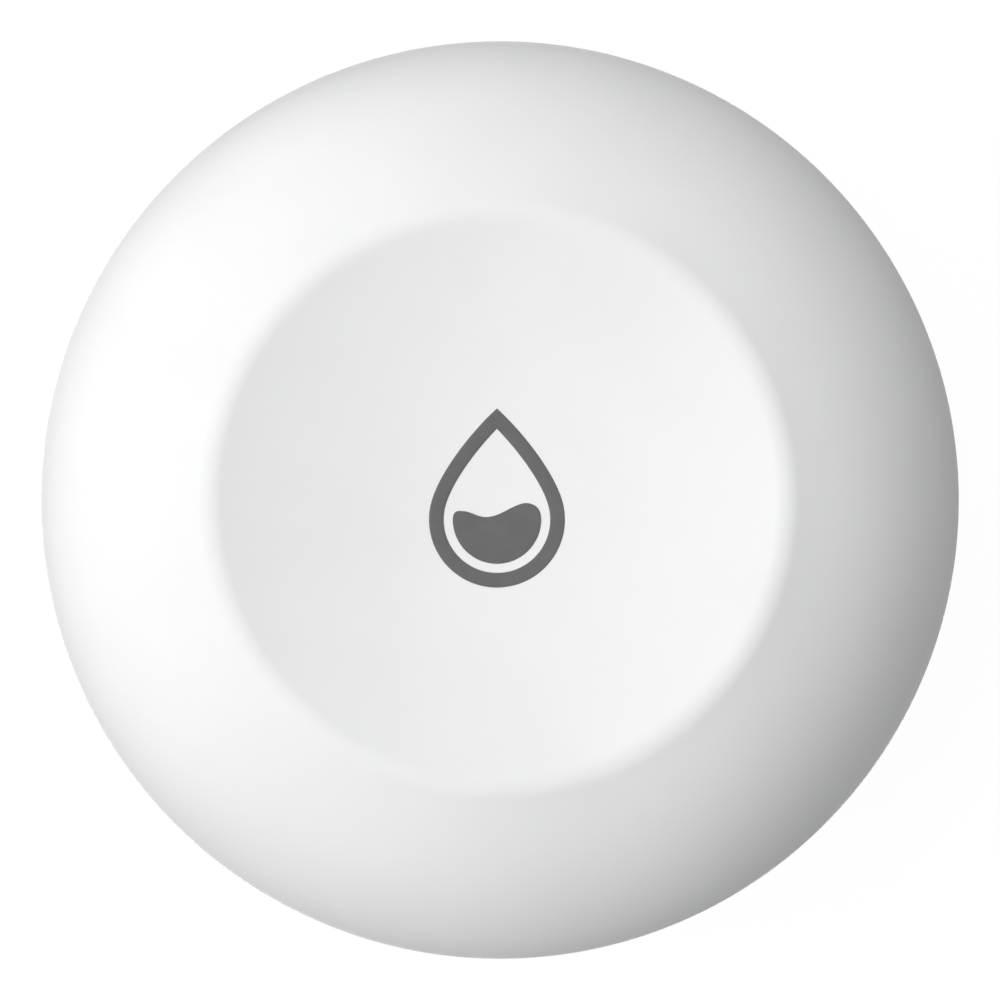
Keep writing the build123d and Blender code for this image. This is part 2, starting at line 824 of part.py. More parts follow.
def make_radio_chip():
    """Flat leadless chip with a dot at its first corner."""
    chip = block(chip_side, chip_side, board_top, board_top + chip_height)
    chip = chamfer(chip.edges().group_by(Axis.Z)[-1], chip_bevel)
    dot_place = chip_side / 2 - chip_dot_radius * 2
    chip_top = board_top + chip_height
    dot = disc(chip_dot_radius, chip_top - chip_dot_depth, chip_top + overrun)
    return on_board(chip - Pos(-dot_place, dot_place, 0) * dot, chip_place_shares)


def make_crystal():
    """Metal-lidded crystal on its ceramic base."""
    base = block(crystal_length, crystal_width, board_top, board_top + crystal_rim_height)
    lid_length = crystal_length - crystal_rim * 2
    lid_width = crystal_width - crystal_rim * 2
    lid = block(lid_length, lid_width, board_top, board_top + crystal_height, crystal_rim)
    return on_board(base + lid, crystal_place_shares)


def make_bulk_capacitor():
    """Moulded capacitor that carries the radio's current peaks."""
    body = block(capacitor_length, capacitor_width, board_top, board_top + capacitor_height)
    body = chamfer(body.edges().group_by(Axis.Z)[-1], capacitor_bevel)
    return on_board(body, capacitor_place_shares)


def make_status_led():
    """Small light with a clear moulded top."""
    base_height = board_top + led_base_height
    base = block(led_length, led_width, board_top, base_height)
    lens_top = base_height + led_lens_height
    lens = block(led_lens_length, led_width, base_height - led_base_height / 2, lens_top)
    lens = fillet(lens.edges().group_by(Axis.Z)[-1], led_lens_round)
    return on_board(base + lens, led_place_shares)


def make_chip_passives():
    """Chip resistors and capacitors, one solid each."""
    body = block(passive_length, passive_width, board_top, board_top + passive_height)
    body = chamfer(body.edges().group_by(Axis.Z)[-1], passive_round)
    return Compound([on_board(body, place[:2], place[2]) for place in passive_place_shares])


nodes = {
    "top_shell": make_top_shell(),
    "base_housing": make_base_housing(),
    "shell_seal": make_shell_seal(),
    "circuit_board": make_circuit_board(),
    "board_screws": make_board_screws(),
    "probe_right": make_probe(),
    "probe_left": Rot(0, 0, full_turn / 2) * make_probe(),
    "probe_seals": make_probe_seals(),
    "probe_contacts": make_probe_contacts(),
    "negative_contact": make_negative_contact(),
    "positive_contact": make_positive_contact(),
    "coin_cell_can": make_coin_cell_can(),
    "coin_cell_cap": make_coin_cell_cap(),
    "coin_cell_seal": make_coin_cell_seal(),
    "battery_cover": make_battery_cover(),
    "cover_seal": make_cover_seal(),
    "switch_base": make_switch_base(),
    "switch_cover": make_switch_cover(),
    "switch_dome": make_switch_dome(),
    "switch_plunger": make_switch_plunger(),
    "radio_chip": make_radio_chip(),
    "crystal": make_crystal(),
    "bulk_capacitor": make_bulk_capacitor(),
    "status_led": make_status_led(),
    "chip_passives": make_chip_passives(),
}

os.makedirs("parts", exist_ok=True)
for name, piece in nodes.items():
    export_step(piece, "parts/" + name + ".step")
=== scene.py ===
"""A round water leak sensor that lies on the floor, dressed over its CAD frame.

Sizes are in millimetres in the classes and in metres in every mesh. The origin is the centre of the
underside at floor level, +Z points up through the dished top and +X runs through the right probe.
"""
import logging
from dataclasses import dataclass, field
from enum import Enum
from functools import cached_property
from math import asin, cos, pi, radians, sin

import bpy
import numpy as np
from bpy.types import Material, Node, NodeSocket, Object, World
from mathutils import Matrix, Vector


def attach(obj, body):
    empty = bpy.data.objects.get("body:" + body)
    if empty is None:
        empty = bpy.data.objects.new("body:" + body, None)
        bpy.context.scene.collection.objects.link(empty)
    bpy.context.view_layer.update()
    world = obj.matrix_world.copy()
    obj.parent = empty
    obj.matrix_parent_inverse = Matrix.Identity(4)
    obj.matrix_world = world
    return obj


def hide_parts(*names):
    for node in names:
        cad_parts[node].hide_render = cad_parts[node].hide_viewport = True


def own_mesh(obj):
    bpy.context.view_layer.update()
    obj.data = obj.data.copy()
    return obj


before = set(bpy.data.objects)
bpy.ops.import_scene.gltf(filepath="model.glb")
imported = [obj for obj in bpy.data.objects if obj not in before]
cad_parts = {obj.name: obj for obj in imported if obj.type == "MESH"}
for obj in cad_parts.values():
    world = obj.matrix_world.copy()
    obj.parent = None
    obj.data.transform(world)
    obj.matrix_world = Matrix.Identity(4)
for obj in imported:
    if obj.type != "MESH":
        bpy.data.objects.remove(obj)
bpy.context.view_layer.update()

logging.basicConfig(level=logging.INFO, format="%(message)s")
log = logging.getLogger("leak_sensor")

MM = 0.001
WHITE = (1.0, 1.0, 1.0, 1.0)
Links = dict[str | int, object]
Pair = tuple[float, float]
Array = np.ndarray


class Axis(Enum):
    """Direction that a pattern or a split follows."""

    X = 0
    Y = 1
    Z = 2


class Wave(Enum):
    """Shape of a wave pattern, with the setting that holds its direction."""

    BANDS = "bands_direction"
    RINGS = "rings_direction"


class Body(Enum):
    """Moving bodies that carry a new piece, by their names."""

    BASE = "base"
    SHELL = "top_shell"
    COVER = "battery_cover"


# Meshes.


def grid_faces(rows: int, columns: int) -> Array:
    """Quads of a grid that closes both ways, with those from the last row to the first at the end.

    Point (i, j) has number i * columns + j, and each quad runs (i, j), (i + 1, j), (i + 1, j + 1),
    (i, j + 1), so it faces along the rows' direction crossed with the columns' direction.

    Args:
        rows: Number of rows of points.
        columns: Number of points in each row.

    Returns:
        Array of point numbers, four to a quad.
    """
    i, j = np.meshgrid(np.arange(rows), np.arange(columns), indexing="ij")
    below = (i + 1) % rows
    beside = (j + 1) % columns
    quads = [i * columns + j, below * columns + j, below * columns + beside, i * columns + beside]
    return np.stack(quads, axis=-1).reshape(-1, 4)


def spun(x: Array | float, y: Array | float, turn: Array | float) -> tuple[Array, Array]:
    """X and Y of points turned about Z by an angle in radians."""
    return x * np.cos(turn) - y * np.sin(turn), x * np.sin(turn) + y * np.cos(turn)


@dataclass
class Surface:
    """Points and faces of a mesh on their way into Blender, in millimetres."""

    points: Array = field(default_factory=lambda: np.zeros((0, 3)))
    faces: list[list[int]] = field(default_factory=list)

    def add(self, points: Array, faces: Array | list[list[int]]) -> None:
        """Adds points and the faces that join them.

        Args:
            points: Array of points, three numbers each.
            faces: Point numbers of each face, counted within these points.
        """
        start = len(self.points)
        self.points = np.vstack([self.points, points])
        self.faces += [[start + number for number in face] for face in faces]

    def add_capped(self, points: Array) -> None:
        """Adds a grid of points whose columns close and whose first and last rows are one point each.

        Args:
            points: Array of rows by columns by three.
        """
        rows, columns = points.shape[0] - 2, points.shape[1]
        ring = np.arange(columns)
        beside = (ring + 1) % columns
        tip = np.full(columns, rows * columns)
        last = (rows - 1) * columns
        faces = grid_faces(rows, columns)[:-columns].tolist()
        faces += np.stack([tip, ring, beside], axis=-1).tolist()
        faces += np.stack([tip + 1, last + beside, last + ring], axis=-1).tolist()
        self.add(np.vstack([points[1:-1].reshape(-1, 3), points[0, :1], points[-1, :1]]), faces)

    def add_turned(self, profile: Array, segments: int) -> None:
        """Adds a surface of revolution about Z that starts and ends on the axis.

        Point (i, j) is the profile's point i, as radius and height, turned by j parts of a full turn.

        Args:
            profile: Array of radius and height, from the top pole outwards and down.
            segments: Number of parts of the turn.
        """
        angle = np.arange(segments) * 2 * pi / segments
        height = np.broadcast_to(profile[:, 1, None], (len(profile), segments))
        self.add_capped(np.stack([*spun(profile[:, 0, None], 0.0, angle), height], axis=-1))

    def piece(self, name: str, sharp_angle: float) -> Object:
        """Puts the surface into Blender as one object at the origin, smooth but for its sharp edges.

        Args:
            name: Name of the piece.
            sharp_angle: Angle in degrees between two faces above which their edge stays sharp.

        Returns:
            The new object.
        """
        mesh = bpy.data.meshes.new(name)
        mesh.from_pydata((self.points * MM).tolist(), [], self.faces)
        mesh.update()
        mesh.shade_smooth()
        mesh.set_sharp_from_angle(angle=radians(sharp_angle))
        piece = bpy.data.objects.new(name, mesh)
        bpy.context.scene.collection.objects.link(piece)
        log.info("made %s with %d faces", name, len(mesh.polygons))
        return piece


def arc(centre: Pair, radius: float, start: float, end: float, count: int) -> Array:
    """Radius and height of points on an arc, at even angles in degrees from upright towards the rim."""
    angle = np.radians(np.linspace(start, end, count))
    return np.stack([centre[0] + radius * np.sin(angle), centre[1] + radius * np.cos(angle)], axis=-1)


def cubic(points: tuple[Array, ...], count: int) -> Array:
    """Points of a cubic curve: the four control points weighted by the cubic Bernstein terms.

    Args:
        points: Start, first handle, second handle and end.
        count: Number of points.

    Returns:
        Array of points on the curve.
    """
    t = np.linspace(0, 1, count)[:, None]
    s = 1 - t
    return s**3 * points[0] + 3 * s * s * t * points[1] + 3 * s * t * t * points[2] + t**3 * points[3]


def slab(outline: Array, width: float, angle: float) -> tuple[Array, list[list[int]]]:
    """A flat slab: an outline of radius and height, moved by half the width to each side.

    Args:
        outline: Array of radius and height, counter-clockwise with the radius to the right.
        width: Width of the slab.
        angle: Direction of the outline's radius about Z, in degrees.

    Returns:
        The slab's points and faces.
    """
    count = len(outline)
    side = np.repeat([-width / 2, width / 2], count)
    radius = np.tile(outline[:, 0], 2)
    height = np.tile(outline[:, 1], 2)
    ring = np.arange(count)
    beside = (ring + 1) % count
    walls = np.stack([beside, ring, ring + count, beside + count], axis=-1).tolist()
    points = np.stack([*spun(radius, side, radians(angle)), height], axis=-1)
    return points, walls + [ring.tolist(), (ring[::-1] + count).tolist()]


def resampled(curve: Array, count: int) -> Array:
    """The same curve with its points spread evenly along its length.

    Args:
        curve: Array of points.
        count: Number of points wanted.

    Returns:
        Array of evenly spaced points.
    """
    length = np.concatenate([[0], np.cumsum(np.linalg.norm(np.diff(curve, axis=0), axis=1))])
    even = np.linspace(0, length[-1], count)
    return np.stack([np.interp(even, length, part) for part in curve.T], axis=-1)


def soften(piece: Object, name: str, width: float, limit: float) -> None:
    """Rounds the edges of a piece that turn by more than a limit.

    Args:
        piece: The piece.
        name: Name of the rounding.
        width: Width of the rounding in millimetres.
        limit: Least angle between two faces, in degrees.
    """
    rounding = piece.modifiers.new(name, "BEVEL")
    rounding.width = width * MM
    rounding.segments = 2
    rounding.limit_method = "ANGLE"
    rounding.angle_limit = radians(limit)


# Finishes.


def linear(code: str) -> tuple[float, float, float, float]:
    """An sRGB hex colour such as "#F2F1EF" as Blender's linear colour, with an alpha of 1."""
    shares = [int(code[k : k + 2], 16) / 255 for k in (1, 3, 5)]
    return (*(s / 12.92 if s <= 0.04045 else ((s + 0.055) / 1.055) ** 2.4 for s in shares), 1.0)


def per_mm(size: float) -> float:
    """Texture scale on metre coordinates at which one feature measures a size in millimetres."""
    return 1 / (size * MM)


@dataclass
class Nodes:
    """Nodes of one material or world, which starts with none."""

    owner: Material | World

    def __post_init__(self) -> None:
        """Switches the owner's nodes on and clears them away."""
        self.owner.use_nodes = True
        self.owner.node_tree.nodes.clear()

    def add(self, kind: str, inputs: Links, settings: Links | None = None) -> Node:
        """Adds a node with its settings, its socket values and its links.

        Args:
            kind: Type of the node, without the start that all shader nodes share.
            inputs: Values or output sockets by the name or number of the input socket.
            settings: Properties of the node by name.

        Returns:
            The new node.
        """
        tree = self.owner.node_tree
        node = tree.nodes.new(f"ShaderNode{kind}")
        for name, value in (settings or {}).items():
            setattr(node, name, value)
        for key, value in inputs.items():
            if isinstance(value, NodeSocket):
                tree.links.new(value, node.inputs[key])
            else:
                node.inputs[key].default_value = value
        return node

    @cached_property
    def place(self) -> NodeSocket:
        """Object coordinates."""
        return self.add("TexCoord", {}).outputs["Object"]

    @cached_property
    def parts(self) -> list[NodeSocket]:
        """X, Y and Z of the object coordinates."""
        return list(self.add("SeparateXYZ", {0: self.place}).outputs)

    def mapped(self, setting: str, values: list[float]) -> NodeSocket:
        """The object coordinates under one setting of a mapping."""
        return self.add("Mapping", {"Vector": self.place, setting: values}).outputs[0]

    def compute(self, operation: str, *values: object) -> NodeSocket:
        """Result of one operation on values or sockets."""
        return self.add("Math", dict(enumerate(values)), {"operation": operation}).outputs[0]

    def ramp(self, value: NodeSocket, source: Pair, target: Pair = (0.0, 1.0)) -> NodeSocket:
        """A value moved from one span onto another and held at its ends."""
        ends = dict(zip(("From Min", "From Max", "To Min", "To Max"), source + target))
        return self.add("MapRange", {"Value": value, **ends}).outputs[0]

    def noise(self, place: NodeSocket, size_mm: float, detail: float) -> NodeSocket:
        """Noise whose features measure a size in millimetres."""
        return self.add("TexNoise", {"Vector": place, "Scale": per_mm(size_mm), "Detail": detail}).outputs[0]

    def waves(
        self, place: NodeSocket, wave: Wave, axis: Axis, size_mm: float, bend: float = 0.0
    ) -> NodeSocket:
        """Bands or rings of one size. At a scale of 1, a wave of Blender's texture is 2 pi / 20 long."""
        inputs = {"Vector": place, "Scale": per_mm(size_mm) * pi / 10, "Distortion": bend}
        return self.add("TexWave", inputs, {"wave_type": wave.name, wave.value: axis.name}).outputs[1]

    def cells(self, size_mm: float, edge: Pair, scatter: float, settings: Links | None = None) -> NodeSocket:
        """1 at the middles or the borders of scattered cells, falling to 0 over an edge."""
        inputs = {"Vector": self.place, "Scale": per_mm(size_mm), "Randomness": scatter}
        return self.ramp(self.add("TexVoronoi", inputs, settings).outputs[0], edge, (1.0, 0.0))

    def mix(self, share: NodeSocket, first: object, second: object) -> NodeSocket:
        """Two colours mixed by a share from 0, all first, to 1, all second."""
        return self.add("Mix", {0: share, 6: first, 7: second}, {"data_type": "RGBA"}).outputs[2]

    def blend(self, share: NodeSocket, first: NodeSocket, second: NodeSocket) -> NodeSocket:
        """Two shaders mixed by a share from 0, all first, to 1, all second."""
        return self.add("MixShader", {0: share, 1: first, 2: second}).outputs[0]


# Spans of Blender's noise that are spread over a finish's two tones and over its gloss.
TONE_SPAN = (0.35, 0.65)
GLOSS_SPAN = (0.3, 0.7)


@dataclass(frozen=True)
class Finish:
    """A material with two close tones in soft patches, uneven gloss and a fine grain.

    The patches and the grain are noise at real sizes. Further sockets of the shader, such as a
    transmission weight, are set from shader_values.
    """

    name: str
    colour: str
    shade: str
    roughness: float
    roughness_spread: float = 0.06
    patch_mm: float = 6.0
    grain_mm: float = 0.3
    grain_depth_mm: float = 0.002
    metallic: float = 0.0
    shader_values: tuple[tuple[str, object], ...] = (("IOR", 1.5),)

    def tones(self, nodes: Nodes) -> NodeSocket:
        """Colour of the surface: the two tones mixed by soft patches."""
        share = nodes.ramp(nodes.noise(nodes.place, self.patch_mm, 4.0), TONE_SPAN)
        return nodes.mix(share, linear(self.colour), linear(self.shade))

    def relief(self, nodes: Nodes) -> NodeSocket:
        """Height of the surface from 0 to 1: a fine even grain."""
        return nodes.noise(nodes.place, self.grain_mm, 2.0)

    def metal_share(self, nodes: Nodes) -> float | NodeSocket:
        """How much of the surface is metal: the same all over."""
        return self.metallic

    def material(self) -> Material:
        """Builds the material, whose gloss varies in patches a third as large as the tones'.

        Returns:
            The new Blender material.
        """
        made = bpy.data.materials.new(self.name)
        nodes = Nodes(made)
        rough = (self.roughness - self.roughness_spread, self.roughness + self.roughness_spread)
        gloss = nodes.noise(nodes.place, self.patch_mm / 3, 5.0)
        grain = {"Strength": 1.0, "Distance": self.grain_depth_mm * MM, "Height": self.relief(nodes)}
        surface = {
            "Base Color": self.tones(nodes),
            "Roughness": nodes.ramp(gloss, GLOSS_SPAN, rough),
            "Metallic": self.metal_share(nodes),
            "Normal": nodes.add("Bump", grain).outputs[0],
            **dict(self.shader_values),
        }
        shader = nodes.add("BsdfPrincipled", surface)
        nodes.add("OutputMaterial", {"Surface": shader.outputs[0]})
        return made


@dataclass(frozen=True)
class TurnedFinish(Finish):
    """A metal face cut on a lathe: fine rings about a centre in place of the grain."""

    centre_mm: Pair = (0.0, 0.0)
    ring_mm: float = 0.18
    ring_bend: float = 0.2

    def relief(self, nodes: Nodes) -> NodeSocket:
        """Height of the surface: rings about the turning centre, bent a little by noise."""
        moved = nodes.mapped("Location", [-MM * part for part in (*self.centre_mm, 0.0)])
        return nodes.waves(moved, Wave.RINGS, Axis.Z, self.ring_mm, self.ring_bend)


@dataclass(frozen=True)
class RolledFinish(Finish):
    """Rolled or drawn metal strip: noise drawn out into fine lines along one direction."""

    along: Axis = Axis.X
    line_mm: float = 0.08
    line_length_mm: float = 4.0

    def relief(self, nodes: Nodes) -> NodeSocket:
        """Height of the surface: long fine lines left by the rolls, all scaled by the mapping."""
        sizes = [self.line_length_mm if axis is self.along else self.line_mm for axis in Axis]
        return nodes.noise(nodes.mapped("Scale", [per_mm(size) for size in sizes]), 1 / MM, 3.0)


@dataclass(frozen=True)
class SplitFinish(Finish):
    """Two materials in one piece, split at a level, such as a metal lid on a ceramic base."""

    split_axis: Axis = Axis.Z
    split_mm: float = 0.0
    second_colour: str = "#FFFFFF"
    second_metallic: float = 0.0
    split_half_mm: float = 0.005

    def side(self, nodes: Nodes) -> NodeSocket:
        """0 below the split and 1 above it."""
        span = ((self.split_mm - self.split_half_mm) * MM, (self.split_mm + self.split_half_mm) * MM)
        return nodes.ramp(nodes.parts[self.split_axis.value], span)

    def tones(self, nodes: Nodes) -> NodeSocket:
        """The patchy first colour below the split and the second above it."""
        return nodes.mix(self.side(nodes), super().tones(nodes), linear(self.second_colour))

    def metal_share(self, nodes: Nodes) -> float | NodeSocket:
        """Metal on the side of the split that is metal, if only one is."""
        ends = (self.metallic, self.second_metallic)
        return ends[0] if ends[0] == ends[1] else nodes.ramp(self.side(nodes), (0.0, 1.0), ends)


@dataclass(frozen=True)
class LaminateFinish(Finish):
    """Glass-fibre board under a lacquer: weave, copper tracks that show through, and bare edges."""

    track_colour: str = "#2F8458"
    edge_colour: str = "#B7A66B"
    thread_mm: float = 0.45
    track_mm: float = 1.7
    track_scatter: float = 0.75
    track_edge: Pair = (0.10, 0.13)
    steep: Pair = (0.4, 0.6)

    def relief(self, nodes: Nodes) -> NodeSocket:
        """Height of the surface: the higher of two sets of threads that cross."""
        threads = [nodes.waves(nodes.place, Wave.BANDS, way, self.thread_mm) for way in (Axis.X, Axis.Y)]
        return nodes.compute("MAXIMUM", *threads)

    def tones(self, nodes: Nodes) -> NodeSocket:
        """Lacquer over laminate and copper, and the bare cut edge of the board.

        Args:
            nodes: Nodes of the material.

        Returns:
            Colour socket.
        """
        border = {"feature": "DISTANCE_TO_EDGE", "distance": "MANHATTAN"}
        track = nodes.cells(self.track_mm, self.track_edge, self.track_scatter, border)
        lacquer = nodes.mix(track, super().tones(nodes), linear(self.track_colour))
        facing = nodes.add("TexCoord", {}).outputs["Normal"]
        upright = nodes.add("SeparateXYZ", {0: facing}).outputs[2]
        edge = nodes.ramp(nodes.compute("ABSOLUTE", upright), self.steep, (1.0, 0.0))
        return nodes.mix(edge, lacquer, linear(self.edge_colour))


@dataclass(frozen=True)
class SpeckledFinish(Finish):
    """A body with small specks of a second colour, such as glass filler in moulded epoxy."""

    speck_colour: str = "#5A5D61"
    speck_mm: float = 0.12
    speck_edge: Pair = (0.12, 0.22)

    def tones(self, nodes: Nodes) -> NodeSocket:
        """The patchy body colour with specks at the middles of scattered cells."""
        specks = nodes.cells(self.speck_mm, self.speck_edge, 1.0)
        return nodes.mix(specks, super().tones(nodes), linear(self.speck_colour))


@dataclass(frozen=True)
class CellFinish(TurnedFinish):
    """Nickel-plated pressed steel of the coin cell, with an engraved plus on its flat underside."""

    mark_colour: str = "#6F6C66"
    mark_half_length_mm: float = 1.6
    mark_half_width_mm: float = 0.32
    mark_top_mm: float = 2.11

    def tones(self, nodes: Nodes) -> NodeSocket:
        """Bright plating, darker in the engraved plus of the underside.

        A point is in the plus where the greater of |x| and |y| is under the bars' half length and
        the smaller one under their half width.

        Args:
            nodes: Nodes of the material.

        Returns:
            Colour socket.
        """
        away = [nodes.compute("ABSOLUTE", part) for part in nodes.parts[:2]]
        limits = (
            (nodes.compute("MAXIMUM", *away), self.mark_half_length_mm),
            (nodes.compute("MINIMUM", *away), self.mark_half_width_mm),
            (nodes.parts[2], self.mark_top_mm),
        )
        inside = [nodes.compute("LESS_THAN", value, limit * MM) for value, limit in limits]
        mark = nodes.compute("MULTIPLY", nodes.compute("MULTIPLY", *inside[:2]), inside[2])
        return nodes.mix(mark, super().tones(nodes), linear(self.mark_colour))


# White ABS from a finely spark-eroded mould: an even satin that scatters the light softly.
SHELL_ABS = Finish(
    "moulded_satin_abs", "#F1F1F1", "#EEEEEE", 0.66, 0.05, 9.0, 0.22, 0.0012,
    shader_values=(("IOR", 1.5), ("Specular IOR Level", 0.15)),
)
# The base is the same plastic from a coarser mould: a duller white with a grain that shows up close.
BASE_ABS = Finish("moulded_grained_abs", "#EBEAE8", "#E6E5E2", 0.6, 0.06, 7.0, 0.28, 0.008)
# Pad-printed ink, thin and dull, with the faint mottle that a silicone pad leaves.
PRINT_INK = Finish(
    "pad_printed_ink", "#656565", "#616161", 0.62, 0.05, 1.1, 0.12, 0.0015,
    shader_values=(("IOR", 1.5), ("Specular IOR Level", 0.3)),
)
# Liquid silicone: a milky grey rubber, soft in its gloss, with a little dust.
SILICONE = Finish(
    "moulded_silicone_rubber", "#B9BBBA", "#ADAFAE", 0.55, 0.1, 1.5, 0.15, 0.004,
    shader_values=(("IOR", 1.41), ("Subsurface Weight", 0.2), ("Subsurface Scale", 0.001)),
)
# Stainless steel turned on a lathe: bright rings about each probe's own axis. Real ones lie 0.1 mm
# apart, which is too fine to show, so they are drawn coarser.
PROBE_STEEL = {
    side: TurnedFinish(
        f"turned_stainless_{side}", "#C9C8C5", "#C2C1BD", 0.28, 0.03, 3.0, 0.2, 0.002, 1.0, (), (x, 0.0), 0.36
    )
    for side, x in (("right", 17.825), ("left", -17.825))
}
# Zinc-plated screw steel: a cool bright grey, cloudy where the plating is thicker.
SCREW_ZINC = Finish("zinc_plated_steel", "#B4B8BC", "#9DA3A9", 0.33, 0.1, 0.8, 0.12, 0.004, 1.0, ())
# Nickel-plated bronze strip: lines from the rolls, and a warm tone under the nickel.
CONTACT_BRONZE = RolledFinish(
    "rolled_nickel_bronze", "#CBB98F", "#BFA877", 0.28, 0.07, 1.2, 0.1, 0.002, 1.0, ()
)
# Rolled stainless for the switch's dome and cover.
SWITCH_STAINLESS = RolledFinish(
    "rolled_stainless", "#C4C5C6", "#B6B7B9", 0.22, 0.06, 0.9, 0.1, 0.0015, 1.0, (), Axis.Y, 0.06, 2.5
)
# Deep-drawn, nickel-plated cell steel: soft smears of handling over very fine rings.
CELL_STEEL = CellFinish("drawn_nickel_steel", "#C8C5BE", "#C1BEB6", 0.24, 0.05, 5.0, 0.2, 0.0006, 1.0, ())
CELL_CAP_STEEL = TurnedFinish(
    "brushed_nickel_cap", "#CDCAC3", "#BFBBB2", 0.34, 0.08, 2.4, 0.2, 0.003, 1.0, (), (0.0, 0.0), 0.26
)
# Nylon of the cell's gasket: milky, a little amber, and faintly see-through.
CELL_NYLON = Finish(
    "moulded_nylon", "#D9D3C0", "#CFC7B0", 0.42, 0.06, 0.7, 0.1, 0.002,
    shader_values=(("IOR", 1.53), ("Subsurface Weight", 0.3), ("Subsurface Scale", 0.0006)),
)
# Green lacquered glass-fibre board.
BOARD = LaminateFinish("lacquered_glass_laminate", "#1E6A43", "#1A5F3C", 0.36, 0.05, 5.0, 0.4, 0.006)
# Black glass-filled switch plastic, a little grey from its fibres.
SWITCH_PLASTIC = SpeckledFinish(
    "glass_filled_polymer", "#1D1E20", "#26272A", 0.5, 0.08, 0.8, 0.08, 0.004, speck_colour="#45474A"
)
# Moulded epoxy over the chip: a matt grey-black with pale filler grains.
CHIP_EPOXY = SpeckledFinish("moulded_epoxy", "#26282B", "#2D3033", 0.62, 0.06, 0.9, 0.07, 0.006)
# Seam-welded lid on a dark ceramic tub.
CRYSTAL_LID = SplitFinish(
    "welded_lid_on_ceramic", "#3B3836", "#45413E", 0.34, 0.08, 0.6, 0.08, 0.003, 0.0, (),
    Axis.Z, 7.655, "#C7C1AE", 1.0,
)
# Tantalum capacitor: ochre resin with the brown band of its positive end.
CAPACITOR_RESIN = SplitFinish(
    "moulded_ochre_resin", "#D29B35", "#C88F2B", 0.48, 0.07, 0.7, 0.07, 0.006,
    split_axis=Axis.X, split_mm=9.45, second_colour="#6B3B1C",
)
# Milky lens over the lamp's white reflector.
LED_RESIN = SplitFinish(
    "clear_resin_on_reflector", "#E9E7E0", "#E1DED4", 0.22, 0.05, 0.5, 0.05, 0.001,
    shader_values=(("IOR", 1.51), ("Subsurface Weight", 0.35), ("Subsurface Scale", 0.0005)),
    split_axis=Axis.Z, split_mm=7.6, second_colour="#F0E7B0",
)
# Fired ceramic bodies in browns that differ from batch to batch.
PASSIVE_CERAMIC = SpeckledFinish(
    "fired_ceramic", "#A88A63", "#6E5A45", 0.4, 0.08, 2.6, 0.05, 0.003, speck_colour="#8C7352"
)
# Tin on the chips' ends and lands, wavy where it froze.
TIN = Finish("reflowed_tin", "#C6C8CA", "#B3B6B9", 0.3, 0.1, 0.35, 0.12, 0.01, 1.0, ())


def dress(name: str, finish: Finish) -> None:
    """Gives a CAD node its finish.

    Args:
        name: Name of the node.
        finish: Finish that it gets.
    """
    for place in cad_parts[name].material_slots:
        place.material = finish.material()
    log.info("dressed %s as %s", name, finish.name)


def fit(piece: Object, finish: Finish, body: Body) -> None:
    """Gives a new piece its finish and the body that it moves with.

    Args:
        piece: The new piece, in its place.
        finish: Finish that it gets.
        body: Body that carries it.
    """
    piece.data.materials.append(finish.material())
    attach(piece, body.value)
    log.info("fitted %s to %s as %s", piece.name, body.value, finish.name)


# Sub-assemblies.


